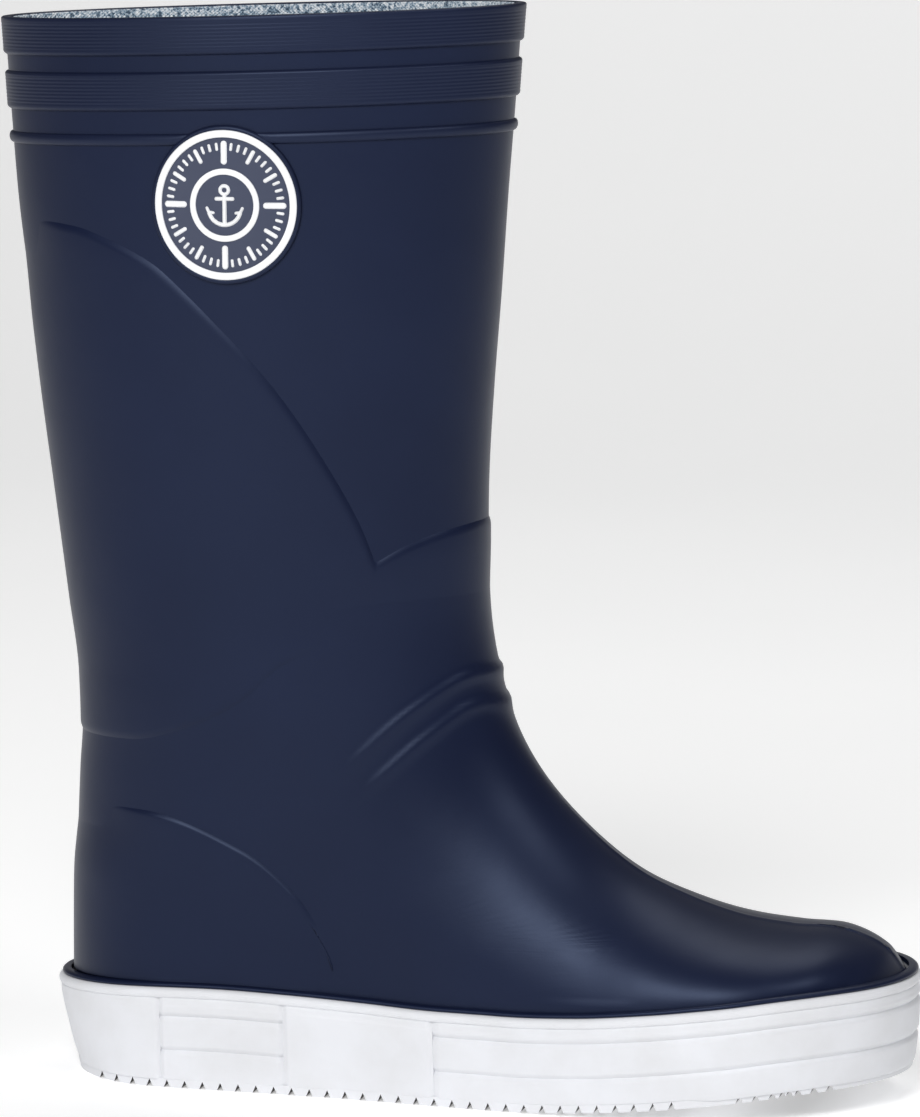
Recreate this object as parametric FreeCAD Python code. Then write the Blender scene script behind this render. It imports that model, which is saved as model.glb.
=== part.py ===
import FreeCAD, Part
import math
import os

# Deck boot, right foot: a moulded upper of foot, ankle and leg on a white cup sole.
# X runs from heel to toe, Y from the outer side to the inner side, Z up. All in millimetres.
# Dimensions are taken from the heel back of the sole (X = 0) and the ground (Z = 0), and
# every solid is moved at the end so that the origin is under the middle of the boot.

# ---- driving dimensions -----------------------------------------------------------------
SOLE_LENGTH = 286.0
SOLE_TOE_RADIUS = 60.0
SOLE_HEEL_RADIUS = 43.0
FOXING_THICKNESS = 3.3
UPPER_WALL = 2.2
LINING_WALL = 1.1
FIT_GAP = 0.2
SKIN_GAP = 0.15
PANEL_RAISE = 0.8
CUFF_RAISE = 1.2
BEAD_RAISE = 1.3
FLOOR_Z = 14.0
ANKLE_HINGE = (75.0, 111.5)
CUFF_BANDS = {
    "cuff_band_top": (0.0, 10.4),
    "cuff_band_lower": (15.9, 27.6),
    "cuff_bead": (34.8, 38.0),
}
LINING_DROP = 0.8
BOARD_TOP = 15.7
FOAM_THICKNESS = 5.0
COVER_THICKNESS = 0.8
BADGE_CENTRE = (70.1, 290.5)
BADGE_HALF_HEIGHT = 25.5
BADGE_HALF_LENGTH = 24.6
BADGE_THICKNESS = 1.6
BADGE_RELIEF = 0.6
BADGE_RIM = 1.2
BADGE_RING = 2.5
BADGE_INNER_HALF_HEIGHT = 11.8
BADGE_INNER_HALF_LENGTH = 11.0
BADGE_INNER_RING = 1.9
RELIEF_GAP = 0.1
RIB_WIDTH = 5.0
RIB_RAISE = 1.0
BEAD_HEIGHT = 3.2
BEAD_PROUD = 0.7
FLANGE_HEIGHT = 2.6
FLANGE_INSET = 0.6
TREAD_INSET = 0.2
TREAD_THICKNESS = 3.2
SIPE_DEPTH = 2.6
SIPE_HALF_WIDTH = 1.15
SIPES = [20.5 + 6.1 * k for k in range(33)] + [250.0 + 4.6 * k for k in range(4)] + [237.0 + 5.0 * k for k in range(4)]
GROOVE_DEPTH = 0.9
GROOVE_WIDTH = 1.0
FOXING_GROOVES = (-9.0, -20.5)
GROOVED_SPANS = ((42.9, 84.9), (136.4, 300.0))
FOXING_SPANS = {
    "foxing_heel": (-20.0, 42.6),
    "foxing_ribbed": (43.2, 84.6),
    "foxing_side": (85.2, 135.8),
    "foxing_toe": (136.4, 310.0),
}

# The upper is cut on two slanted planes: between them it bends with the ankle.
CUT_GAP = 0.3
FOOT_CUT = [(7.9, 94.0), (163.0, 105.2)]
LEG_CUT = [(8.9, 106.0), (150.0, 146.4)]
FLEX_RIBS = (
    [(105.5, 106.6), (125.2, 124.6), (143.5, 137.0), (168.0, 135.5)],
    [(112.5, 104.8), (130.0, 116.8), (146.5, 127.2), (168.0, 121.8)],
)

# Edges of the raised panels, in side view.
SWEEP_LINE = [(-40.0, 286.6), (17.1, 281.4), (44.3, 272.2), (66.1, 253.5), (96.1, 212.1), (115.7, 175.8)]
SWEEP_CLOSE = [(135.6, 185.1), (173.0, 188.1), (173.0, 60.0), (-40.0, 60.0)]
PANEL_FOOT = [(-60.0, 113.4), (-20.0, 113.6), (13.1, 113.9), (33.1, 114.5), (54.9, 120.3), (71.9, 128.8),
              (87.0, 141.9), (107.8, 149.6), (134.9, 151.6), (194.0, 152.0)]
COUNTER_EDGE = [(-60.0, 92.4), (-10.0, 92.8), (13.1, 92.9), (38.2, 91.9), (70.6, 80.5), (87.4, 68.2),
                (100.1, 50.7), (106.5, 28.0)]

AROUND = 48
SIDE = 90.0

# Side-view outline, as (X, Z, depth of the rounding behind it).
FRONT = [
    (282.6, 14.0, 3.1),
    (282.6, 40.0, 3.1),
    (281.2, 42.2, 5.6),
    (275.2, 49.6, 12.2),
    (261.5, 55.2, 15.3),
    (245.6, 56.3, 17.9),
    (229.2, 59.0, 23.5),
    (212.1, 64.8, 33.7),
    (195.6, 72.9, 46.9),
    (179.5, 85.7, 59.2),
    (164.9, 101.4, 67.3),
    (155.2, 117.2, 70.4),
    (149.1, 135.5, 71.4),
    (145.9, 152.5, 71.4),
    (144.8, 171.5, 71.4),
    (144.8, 199.5, 73.4),
    (146.4, 228.5, 75.5),
    (148.9, 260.6, 78.5),
    (151.1, 292.7, 81.6),
    (153.1, 317.7, 84.7),
    (155.8, 353.2, 87.7),
]
# Heights on the back outline that the front points above are joined to.
BACK_Z = [14.0, 33.0, 35.5, 40.5, 44.5, 47.0, 50.5, 56.0, 63.0, 72.0, 82.5, 94.0, 110.1, 130.1, 154.0,
          185.9, 217.8, 250.7, 283.6, 308.5, 344.5]
BACK = [
    (14.0, 5.3),
    (46.0, 5.4),
    (61.0, 5.6),
    (84.0, 6.7),
    (101.1, 7.6),
    (117.1, 8.7),
    (133.1, 8.3),
    (158.0, 5.1),
    (190.9, 0.8),
    (223.8, -3.6),
    (255.7, -7.4),
    (288.6, -11.5),
    (315.5, -13.6),
    (344.5, -15.6),
]
BACK_ROUNDING = [(14.0, 41.6), (59.0, 42.6), (109.0, 52.0), (155.0, 62.4), (209.0, 71.8), (345.0, 88.4)]
LEG_HALF_WIDTH = [(14.0, 36.0), (100.0, 38.0), (150.0, 41.0), (220.0, 44.6), (300.0, 47.6), (346.0, 49.0)]
SOLE_HALF_WIDTH = [(0.0, 36.0), (61.0, 36.0), (101.0, 36.2), (144.0, 39.3), (185.0, 46.0), (217.0, 50.0),
                   (286.0, 50.5)]
SOLE_MIDDLE = [(0.0, 0.0), (30.0, -0.4), (61.0, -1.5), (101.0, -4.0), (144.0, -6.0), (185.0, -4.2),
               (215.0, -1.2), (240.0, 2.0), (261.0, 5.0), (286.0, 7.6)]
SOLE_TOP = [(-10.0, 31.3), (0.0, 31.7), (20.0, 32.7), (40.0, 33.5), (63.0, 33.8), (87.0, 33.3),
            (112.0, 32.3), (138.0, 31.4), (160.0, 31.4), (183.0, 32.4), (207.0, 34.7), (231.0, 37.4),
            (251.0, 39.6), (269.0, 40.6), (286.0, 41.0), (296.0, 41.1)]
SOLE_BOTTOM = [(155.0, 0.0), (169.0, 0.5), (189.0, 1.8), (209.0, 3.7), (228.0, 5.9), (246.0, 7.9),
               (264.0, 9.3), (286.0, 10.1), (296.0, 10.3)]
LEG_MIDDLE = -1.5


# ---- helpers ----------------------------------------------------------------------------
def smooth(points, x):
    """Monotone cubic through (x, value) pairs."""
    if x <= points[0][0]:
        return points[0][1]
    if x >= points[-1][0]:
        return points[-1][1]
    k = 0
    while x > points[k + 1][0]:
        k += 1
    slopes = [(b[1] - a[1]) / (b[0] - a[0]) for a, b in zip(points, points[1:])]

    def tangent(i):
        if i == 0 or i == len(points) - 1:
            return slopes[min(i, len(slopes) - 1)]
        before, after = slopes[i - 1], slopes[i]
        if before * after <= 0.0:
            return 0.0
        return 2.0 * before * after / (before + after)

    width = points[k + 1][0] - points[k][0]
    t = (x - points[k][0]) / width
    return (
        points[k][1] * (1 + 2 * t) * (1 - t) ** 2
        + tangent(k) * width * t * (1 - t) ** 2
        + points[k + 1][1] * t * t * (3 - 2 * t)
        + tangent(k + 1) * width * t * t * (t - 1)
    )


def step(a, b, x):
    t = min(max((x - a) / (b - a), 0.0), 1.0)
    return t * t * (3 - 2 * t)


def rounding(u):
    """Quarter circle: 0 at the outline, 1 from the depth of the rounding on."""
    u = min(max(u, 0.0), 1.0)
    return math.sqrt(1.0 - (1.0 - u) ** 2)


def chain_lengths(points):
    total = [0.0]
    for a, b in zip(points, points[1:]):
        total.append(total[-1] + math.hypot(b[0] - a[0], b[1] - a[1]))
    return total


FRONT_S = chain_lengths(FRONT)
FRONT_X = [(s, p[0]) for s, p in zip(FRONT_S, FRONT)]
FRONT_Z = [(s, p[1]) for s, p in zip(FRONT_S, FRONT)]
FRONT_R = [(s, p[2]) for s, p in zip(FRONT_S, FRONT)]
FRONT_TO_BACK = [(s, z) for s, z in zip(FRONT_S, BACK_Z)]


def catmull(points, s):
    """Smooth curve through (s, value) pairs, with unlimited slopes."""
    k = 0
    while k < len(points) - 2 and s > points[k + 1][0]:
        k += 1

    def tangent(i):
        a = points[max(i - 1, 0)]
        b = points[min(i + 1, len(points) - 1)]
        return (b[1] - a[1]) / (b[0] - a[0])

    width = points[k + 1][0] - points[k][0]
    t = (s - points[k][0]) / width
    return (
        points[k][1] * (1 + 2 * t) * (1 - t) ** 2
        + tangent(k) * width * t * (1 - t) ** 2
        + points[k + 1][1] * t * t * (3 - 2 * t)
        + tangent(k + 1) * width * t * t * (t - 1)
    )


FRONT_STEPS = 260
FRONT_LINE = []
for step_number in range(FRONT_STEPS + 1):
    along = FRONT_S[1] + (FRONT_S[-1] - FRONT_S[1]) * step_number / FRONT_STEPS
    FRONT_LINE.append((catmull(FRONT_X, along), catmull(FRONT_Z, along), catmull(FRONT_R, along)))


def front_depth(x, z):
    """How deep a side-view point lies behind the front outline, as a share of the rounding there."""
    best = 1e9
    near = 0
    for k, p in enumerate(FRONT_LINE):
        d = (p[0] - x) ** 2 + (p[1] - z) ** 2
        if d < best:
            best = d
            near = k
    share = []
    for k in (near - 1, near):
        if 0 <= k < FRONT_STEPS:
            a, b = FRONT_LINE[k], FRONT_LINE[k + 1]
            dx, dz = b[0] - a[0], b[1] - a[1]
            t = ((x - a[0]) * dx + (z - a[1]) * dz) / (dx * dx + dz * dz)
            t = min(max(t, 0.0), 1.0)
            gap = math.hypot(a[0] + t * dx - x, a[1] + t * dz - z)
            share.append((gap, gap / (a[2] + t * (b[2] - a[2]))))
    return min(share)[1]


def upper_half_width(x, z, inset):
    """Half the width of the upper at a side-view point, and the middle of it."""
    foot = smooth(SOLE_HALF_WIDTH, x) - FOXING_THICKNESS
    foot *= rounding((FRONT[0][0] - x) / (SOLE_TOE_RADIUS - inset))
    leg = smooth(LEG_HALF_WIDTH, z)
    share = step(48.0, 135.0, z)
    base = foot * (1.0 - share) + leg * share
    base *= rounding((x - smooth(BACK, z)) / smooth(BACK_ROUNDING, z))
    if z > FRONT[1][1] - 3.0:
        base *= rounding(front_depth(x, z))
    middle = smooth(SOLE_MIDDLE, x) * (1.0 - share) + LEG_MIDDLE * share
    return base, middle


def upper_rows():
    """Closed rows of points round the upper, each one in a plane square to the side view."""
    spots = [0.0, 0.35 * FRONT_S[1], 0.7 * FRONT_S[1]]
    s = FRONT_S[1]
    while s < FRONT_S[-1] - 2.0:
        spots.append(s)
        s += 4.0 if s < FRONT_S[1] + 45.0 else 6.5 if s < 190.0 else 12.0
    spots.append(FRONT_S[-1])
    rows = []
    for s in spots:
        xf, zf = catmull(FRONT_X, s), catmull(FRONT_Z, s)
        zb = smooth(FRONT_TO_BACK, s)
        xb = smooth(BACK, zb)
        row = []
        for k in range(AROUND):
            turn = 2.0 * math.pi * k / AROUND
            share = 0.5 - 0.5 * math.cos(turn)
            x, z = xb + (xf - xb) * share, zb + (zf - zb) * share
            half, middle = upper_half_width(x, z, FOXING_THICKNESS)
            side = -1.0 if k <= AROUND // 2 else 1.0
            row.append(FreeCAD.Vector(x, middle + side * half, z))
        rows.append(row)
    return rows


UPPER_ROWS = upper_rows()


def offset_rows(rows, distance):
    """The rows moved outward by a distance; the first and last stay in their planes."""
    moved = []
    last = len(rows) - 1
    for j, row in enumerate(rows):
        new = []
        for k, point in enumerate(row):
            along = row[(k + 1) % len(row)] - row[k - 1]
            up = rows[min(j + 1, last)][k] - rows[max(j - 1, 0)][k]
            if j == 0 or j == last:
                lean = rows[j][len(row) // 2] - rows[j][0]
                up = FreeCAD.Vector(-lean.z, 0.0, lean.x)
            out = along.cross(up)
            out.normalize()
            new.append(point + out * distance)
        moved.append(new)
    return moved


def skin_surface(rows):
    """Bicubic surface, closed round the rows."""
    poles = [[row[k] for row in rows] for k in range(len(rows[0]))]
    around, up = len(poles), len(rows)
    surface = Part.BSplineSurface()
    surface.buildFromPolesMultsKnots(
        poles,
        [1] * (around + 1),
        [4] + [1] * (up - 4) + [4],
        [float(k) for k in range(around + 1)],
        [float(k) for k in range(up - 2)],
        True,
        False,
        3,
        3,
    )
    return surface


def end_wire(surface, at_top):
    bounds = surface.bounds()
    return Part.Wire(surface.vIso(bounds[3] if at_top else bounds[2]).toShape())


def solid_of(faces):
    shell = Part.Shell(faces)
    shell.sewShape()
    solid = Part.Solid(shell)
    if solid.Volume < 0.0:
        solid.reverse()
    return solid


UPPER_SOLIDS = {}


def filled(surface):
    """Solid inside a closed skin, with flat ends."""
    return solid_of([surface.toShape()] + [Part.Face(end_wire(surface, top)) for top in (True, False)])


def upper_solid(distance):
    """Everything inside the upper's face moved outward by a distance."""
    if distance not in UPPER_SOLIDS:
        UPPER_SOLIDS[distance] = filled(skin_surface(offset_rows(UPPER_ROWS, distance)))
    return UPPER_SOLIDS[distance]


def tube(outer, inner):
    """Wall of the upper between two distances from its face."""
    return upper_solid(outer).cut(upper_solid(inner))


def side_prism(points, y0=-SIDE, y1=SIDE):
    """Side-view outline of straight lines, run from one side of the boot to the other."""
    corners = [FreeCAD.Vector(x, y0, z) for x, z in points]
    face = Part.Face(Part.makePolygon(corners + [corners[0]]))
    return face.extrude(FreeCAD.Vector(0.0, y1 - y0, 0.0))


def curve_prism(curve, corners, y0=-SIDE, y1=SIDE):
    """Side-view outline of one smooth curve closed by straight lines, run across the boot."""
    points = [FreeCAD.Vector(x, y0, z) for x, z in curve]
    spline = Part.BSplineCurve()
    spline.interpolate(points)
    line = [points[-1]] + [FreeCAD.Vector(x, y0, z) for x, z in corners] + [points[0]]
    edges = [spline.toShape()] + [Part.LineSegment(a, b).toShape() for a, b in zip(line, line[1:])]
    return Part.Face(Part.Wire(edges)).extrude(FreeCAD.Vector(0.0, y1 - y0, 0.0))


def under(curve, low=-40.0):
    return curve_prism(curve, [(curve[-1][0], low), (curve[0][0], low)])


def raised(curve, amount):
    return [(x, z + amount) for x, z in curve]


def under_tread(amount):
    """Everything below the tread's face raised by an amount: flat, then up to the toe."""
    back = -60.0
    return curve_prism(raised(SOLE_BOTTOM, amount), [(SOLE_BOTTOM[-1][0], -40.0), (back, -40.0), (back, amount)])


def rim_height(x):
    """Height of the straight rim line in side view."""
    back, front = (BACK[-1][1], BACK[-1][0]), FRONT[-1]
    return back[1] + (front[1] - back[1]) * (x - back[0]) / (front[0] - back[0])


def rim_slab(top_depth, bottom_depth):
    """Slab between two depths under the rim, parallel to it."""
    ends = (-60.0, 220.0)
    high = [(x, rim_height(x) - top_depth) for x in ends]
    low = [(x, rim_height(x) - bottom_depth) for x in reversed(ends)]
    return side_prism(high + low)


def between(low, high):
    """Slab between two straight side-view lines, each given by two points."""
    ends = (-80.0, 320.0)

    def at(line, x):
        (x0, z0), (x1, z1) = line
        return z0 + (z1 - z0) * (x - x0) / (x1 - x0)

    return side_prism([(x, at(low, x)) for x in ends] + [(x, at(high, x)) for x in reversed(ends)])


def sole_inset(x, z):
    """How far the cup wall leans in below its top edge, most at the heel back."""
    lean = smooth([(-2.0, 2.4), (9.0, 1.5), (31.0, 0.0), (40.0, 0.0)], z)
    return lean * (1.0 + 1.7 * (1.0 - step(0.0, 34.0, x)))


def sole_block(inset):
    """Cup sole filled solid from below the ground to above the feather line."""
    rows = []
    for z in (-2.0, 4.0, 9.0, 16.0, 24.0, 31.0, 40.0):
        row = []
        for k in range(AROUND):
            turn = 2.0 * math.pi * k / AROUND
            x = SOLE_LENGTH * (0.5 - 0.5 * math.cos(turn))
            half = smooth(SOLE_HALF_WIDTH, x) * rounding(x / SOLE_HEEL_RADIUS)
            half *= rounding((SOLE_LENGTH - x) / SOLE_TOE_RADIUS)
            side = -1.0 if k <= AROUND // 2 else 1.0
            row.append(FreeCAD.Vector(x, smooth(SOLE_MIDDLE, x) + side * half, z))
        level = []
        for k, point in enumerate(row):
            along = row[(k + 1) % AROUND] - row[k - 1]
            out = FreeCAD.Vector(along.y, -along.x, 0.0)
            out.normalize()
            level.append(point - out * (inset + sole_inset(point.x, z)))
        rows.append(level)
    return filled(skin_surface(rows))


def one_solid(shape):
    """The largest solid of a boolean result."""
    return max(shape.Solids, key=lambda solid: solid.Volume)


def across(height, length, x, z):
    """Oval bar from the outer side to the middle of the boot, given half its height and length."""
    oval = Part.Ellipse(FreeCAD.Vector(x, -SIDE, z + height), FreeCAD.Vector(x + length, -SIDE, z),
                        FreeCAD.Vector(x, -SIDE, z))
    return Part.Face(Part.Wire(oval.toShape())).extrude(FreeCAD.Vector(0.0, SIDE, 0.0))


# ---- zones ------------------------------------------------------------------------------
above_leg_cut = between(raised(LEG_CUT, CUT_GAP), raised(LEG_CUT, 400.0))
ankle_zone = between(FOOT_CUT, LEG_CUT)
below_foot_cut = between(raised(FOOT_CUT, -200.0), raised(FOOT_CUT, -CUT_GAP))
above_board = side_prism([(-60.0, BOARD_TOP), (330.0, BOARD_TOP), (330.0, 400.0), (-60.0, 400.0)])

nodes = {}

# ---- upper: foot, ankle and leg ---------------------------------------------------------
upper = tube(0.0, -UPPER_WALL)
lining = tube(-UPPER_WALL - FIT_GAP, -UPPER_WALL - FIT_GAP - LINING_WALL).common(above_board)
nodes["foot_shell"] = upper.common(below_foot_cut)
nodes["leg_shell"] = upper.common(above_leg_cut)
nodes["foot_lining"] = lining.common(below_foot_cut)
nodes["ankle_lining"] = lining.common(ankle_zone)
nodes["leg_lining"] = lining.common(above_leg_cut).common(rim_slab(LINING_DROP, 400.0))

rib_skin = tube(RIB_RAISE, -0.5)
ankle = upper.common(ankle_zone)
for rib in FLEX_RIBS:
    lower_edge = [(x, z - 0.5 * RIB_WIDTH) for x, z in rib]
    upper_edge = [(x, z + 0.5 * RIB_WIDTH) for x, z in reversed(rib)]
    ankle = ankle.fuse(rib_skin.common(side_prism(lower_edge + upper_edge)))
nodes["ankle_shell"] = ankle.removeSplitter()

panel_skin = tube(SKIN_GAP + PANEL_RAISE, SKIN_GAP)
panel = panel_skin.common(curve_prism(SWEEP_LINE, SWEEP_CLOSE))
panel = panel.common(curve_prism(PANEL_FOOT, [(180.0, 400.0), (-60.0, 400.0)]))
badge_room = across(BADGE_HALF_HEIGHT + 0.3, BADGE_HALF_LENGTH + 0.3, *BADGE_CENTRE)
nodes["leg_panel"] = panel.cut(badge_room)

counter = panel_skin.common(under(COUNTER_EDGE))
flange_top = raised(SOLE_TOP, FLANGE_HEIGHT)
nodes["heel_counter"] = counter.cut(under(raised(flange_top, FIT_GAP)))

# ---- cuff and badge ---------------------------------------------------------------------
cuff_skin = tube(SKIN_GAP + CUFF_RAISE, SKIN_GAP)
for name, (top_depth, bottom_depth) in CUFF_BANDS.items():
    nodes[name] = cuff_skin.common(rim_slab(top_depth, bottom_depth)).cut(badge_room)

badge_plate = tube(BADGE_THICKNESS + SKIN_GAP, SKIN_GAP)
relief_base = BADGE_THICKNESS + SKIN_GAP + RELIEF_GAP
badge_top = tube(relief_base + BADGE_RELIEF, relief_base)
nodes["badge_disc"] = badge_plate.common(across(BADGE_HALF_HEIGHT, BADGE_HALF_LENGTH, *BADGE_CENTRE))


def badge_circle(half_height, half_length, width):
    """Raised ring on the badge, given its outer half-height and half-length."""
    outer = across(half_height, half_length, *BADGE_CENTRE)
    return badge_top.common(outer.cut(across(half_height - width, half_length - width, *BADGE_CENTRE)))


nodes["badge_ring"] = badge_circle(BADGE_HALF_HEIGHT - BADGE_RIM, BADGE_HALF_LENGTH - BADGE_RIM, BADGE_RING)
nodes["badge_inner_ring"] = badge_circle(BADGE_INNER_HALF_HEIGHT, BADGE_INNER_HALF_LENGTH, BADGE_INNER_RING)
bx, bz = BADGE_CENTRE
anchor = across(2.21, 2.2, bx, bz + 5.9).cut(across(1.11, 1.1, bx, bz + 5.9))
for half_length, low, high in ((0.8, -6.0, 4.5), (3.6, 2.2, 3.4)):
    x0, x1, z0, z1 = bx - half_length, bx + half_length, bz + low, bz + high
    anchor = anchor.fuse(side_prism([(x0, z0), (x1, z0), (x1, z1), (x0, z1)], -SIDE, 0.0))
arms = across(6.51, 6.5, bx, bz - 0.6).cut(across(5.01, 5.0, bx, bz + 0.4))
arms = arms.cut(side_prism([(bx - 9.0, bz - 2.2), (bx + 9.0, bz - 2.2), (bx + 9.0, bz + 9.0), (bx - 9.0, bz + 9.0)]))
nodes["badge_motif"] = badge_top.common(anchor.fuse(arms))

# ---- cup sole ---------------------------------------------------------------------------
heel_bevel = side_prism([(-20.0, -20.0), (8.8, -20.0), (8.8, -1.0), (3.4, 6.6), (-20.0, 6.6)])
wall = sole_block(0.0).cut(heel_bevel)
fit_body = upper_solid(FIT_GAP)
above_tread = under_tread(TREAD_THICKNESS + FIT_GAP)
tread_body = sole_block(TREAD_INSET).cut(heel_bevel)
tread_body = tread_body.common(under_tread(TREAD_THICKNESS)).cut(under_tread(0.0))
sipes = []
for x in SIPES:
    lift = smooth(SOLE_BOTTOM, x)
    sipes.append(side_prism([(x - SIPE_HALF_WIDTH, -5.0), (x + SIPE_HALF_WIDTH, -5.0), (x + SIPE_HALF_WIDTH, lift),
                             (x, lift + SIPE_DEPTH), (x - SIPE_HALF_WIDTH, lift)]))
nodes["outsole_tread"] = tread_body.cut(Part.makeCompound(sipes))

core = sole_block(FOXING_THICKNESS).cut(above_tread)
core = core.common(side_prism([(6.0, 9.5), (14.0, 0.0), (330.0, 0.0), (330.0, FLOOR_Z - FIT_GAP),
                               (-60.0, FLOOR_Z - FIT_GAP), (-60.0, 9.5)]))
nodes["sole_core"] = core

foxing_top = raised(SOLE_TOP, -BEAD_HEIGHT)
foxing = wall.cut(above_tread).common(under(raised(foxing_top, -FIT_GAP)))
foxing = foxing.cut(sole_block(FOXING_THICKNESS - FIT_GAP).common(under([(-60.0, FLOOR_Z), (130.0, FLOOR_Z),
                                                                         (330.0, FLOOR_Z)])))
foxing = foxing.cut(fit_body)
grooves = sole_block(-2.0).cut(sole_block(GROOVE_DEPTH))
for level in FOXING_GROOVES:
    band = under(raised(SOLE_TOP, level + 0.5 * GROOVE_WIDTH)).cut(under(raised(SOLE_TOP, level - 0.5 * GROOVE_WIDTH)))
    for x0, x1 in GROOVED_SPANS:
        foxing = foxing.cut(grooves.common(band).common(
            side_prism([(x0, -20.0), (x1, -20.0), (x1, 60.0), (x0, 60.0)])))
for name, (x0, x1) in FOXING_SPANS.items():
    piece = foxing.common(side_prism([(x0, -20.0), (x1, -20.0), (x1, 60.0), (x0, 60.0)]))
    if len(piece.Solids) == 1:
        nodes[name] = piece
    else:
        halves = sorted(piece.Solids, key=lambda solid: solid.Volume)[-2:]
        halves.sort(key=lambda solid: solid.CenterOfMass.y)
        nodes[name + "_outer"], nodes[name + "_inner"] = halves

bead = sole_block(-BEAD_PROUD).common(under(raised(SOLE_TOP, -0.5 * FIT_GAP))).cut(under(foxing_top)).cut(fit_body)
nodes["foxing_bead"] = bead
flange = sole_block(FLANGE_INSET).common(under(flange_top)).cut(under(raised(SOLE_TOP, 0.5 * FIT_GAP))).cut(fit_body)
nodes["upper_flange"] = flange

# ---- inside the foot --------------------------------------------------------------------
inside = upper_solid(-UPPER_WALL - FIT_GAP)
lined = upper_solid(-UPPER_WALL - 3.0 * FIT_GAP - LINING_WALL)
layers = {
    "insole_board": (inside, FLOOR_Z + 0.2, BOARD_TOP - FIT_GAP),
    "footbed_foam": (lined, BOARD_TOP, BOARD_TOP + FOAM_THICKNESS),
    "footbed_cover": (lined, BOARD_TOP + FOAM_THICKNESS + SKIN_GAP, BOARD_TOP + FOAM_THICKNESS + COVER_THICKNESS),
}
for name, (body, z0, z1) in layers.items():
    nodes[name] = body.common(side_prism([(-60.0, z0), (330.0, z0), (330.0, z1), (-60.0, z1)]))

# ---- origin under the middle of the boot, then one file for each piece ------------------
solids = {name: one_solid(shape) for name, shape in nodes.items()}
box = Part.makeCompound(list(solids.values())).optimalBoundingBox(True, False)
origin = FreeCAD.Vector(-0.5 * (box.XMin + box.XMax), -0.5 * (box.YMin + box.YMax), -box.ZMin)
os.makedirs("parts", exist_ok=True)
for name, solid in solids.items():
    solid.translate(origin)
    solid.exportStep(os.path.join("parts", name + ".step"))
    spare = sum(other.Volume for other in nodes[name].Solids) - solid.Volume
    print(name, solid.isValid(), round(solid.Volume), "left out", round(spare, 1))
print("box", box.XLength, box.YLength, box.ZLength)
print("moved by", origin)
print("hinge", ANKLE_HINGE[0] + origin.x, origin.y, ANKLE_HINGE[1] + origin.z)
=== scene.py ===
import math

import bpy
import numpy as np
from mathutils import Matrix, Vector


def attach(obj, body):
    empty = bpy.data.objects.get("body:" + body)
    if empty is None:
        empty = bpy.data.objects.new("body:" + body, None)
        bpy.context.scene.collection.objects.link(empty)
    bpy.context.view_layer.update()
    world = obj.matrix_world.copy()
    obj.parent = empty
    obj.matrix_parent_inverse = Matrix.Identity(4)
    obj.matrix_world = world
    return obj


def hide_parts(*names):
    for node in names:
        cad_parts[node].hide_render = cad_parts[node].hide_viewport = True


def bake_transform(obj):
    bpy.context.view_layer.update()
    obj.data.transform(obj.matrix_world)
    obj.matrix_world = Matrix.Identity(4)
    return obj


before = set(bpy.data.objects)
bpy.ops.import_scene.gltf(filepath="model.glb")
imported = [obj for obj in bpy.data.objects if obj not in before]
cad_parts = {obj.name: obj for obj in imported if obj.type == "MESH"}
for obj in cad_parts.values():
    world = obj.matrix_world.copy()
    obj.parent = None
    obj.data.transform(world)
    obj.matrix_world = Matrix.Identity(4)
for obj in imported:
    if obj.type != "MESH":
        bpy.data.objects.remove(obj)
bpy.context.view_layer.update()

# Deck boot. Lengths below are in millimetres from the heel back of the sole and the ground, as
# in the CAD; place() turns them into metres in the frame.
ORIGIN = np.array([-134.796742, 0.320857, 0.0])
SOLE_LENGTH = 286.0
SOLE_TOE_RADIUS = 60.0
SOLE_HEEL_RADIUS = 43.0
FOXING = 3.3
LEG_MIDDLE = -1.5
BADGE_CENTRE = (70.1, 290.5)
BADGE_HALF = (24.6, 25.5)

FRONT = np.array([
    (282.6, 14.0, 3.1), (282.6, 40.0, 3.1), (281.2, 42.2, 5.6), (275.2, 49.6, 12.2),
    (261.5, 55.2, 15.3), (245.6, 56.3, 17.9), (229.2, 59.0, 23.5), (212.1, 64.8, 33.7),
    (195.6, 72.9, 46.9), (179.5, 85.7, 59.2), (164.9, 101.4, 67.3), (155.2, 117.2, 70.4),
    (149.1, 135.5, 71.4), (145.9, 152.5, 71.4), (144.8, 171.5, 71.4), (144.8, 199.5, 73.4),
    (146.4, 228.5, 75.5), (148.9, 260.6, 78.5), (151.1, 292.7, 81.6), (153.1, 317.7, 84.7),
    (155.8, 353.2, 87.7), (157.6, 369.8, 89.2),
])
BACK_Z = [14.0, 33.0, 35.5, 40.5, 44.5, 47.0, 50.5, 56.0, 63.0, 72.0, 82.5, 94.0, 110.1, 130.1,
          154.0, 185.9, 217.8, 250.7, 284.6, 310.5, 347.5, 363.4]
BACK = [(14.0, 5.3), (46.0, 5.4), (61.0, 5.6), (84.0, 6.7), (101.1, 7.6), (117.1, 8.7), (133.1, 8.3),
        (158.0, 5.1), (190.9, 0.8), (223.8, -3.6), (255.7, -7.4), (288.6, -11.5), (315.5, -13.6),
        (344.5, -15.6), (365.4, -17.1)]
BACK_ROUNDING = [(14.0, 41.6), (59.0, 42.6), (109.0, 52.0), (155.0, 62.4), (209.0, 71.8), (345.0, 88.4)]
LEG_HALF_WIDTH = [(14.0, 36.0), (100.0, 38.0), (150.0, 41.0), (220.0, 44.6), (300.0, 47.6),
                  (346.0, 49.0)]
SOLE_HALF_WIDTH = [(0.0, 36.0), (61.0, 36.0), (101.0, 36.2), (144.0, 39.3), (185.0, 46.0), (217.0, 50.0),
                   (286.0, 50.5)]
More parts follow.
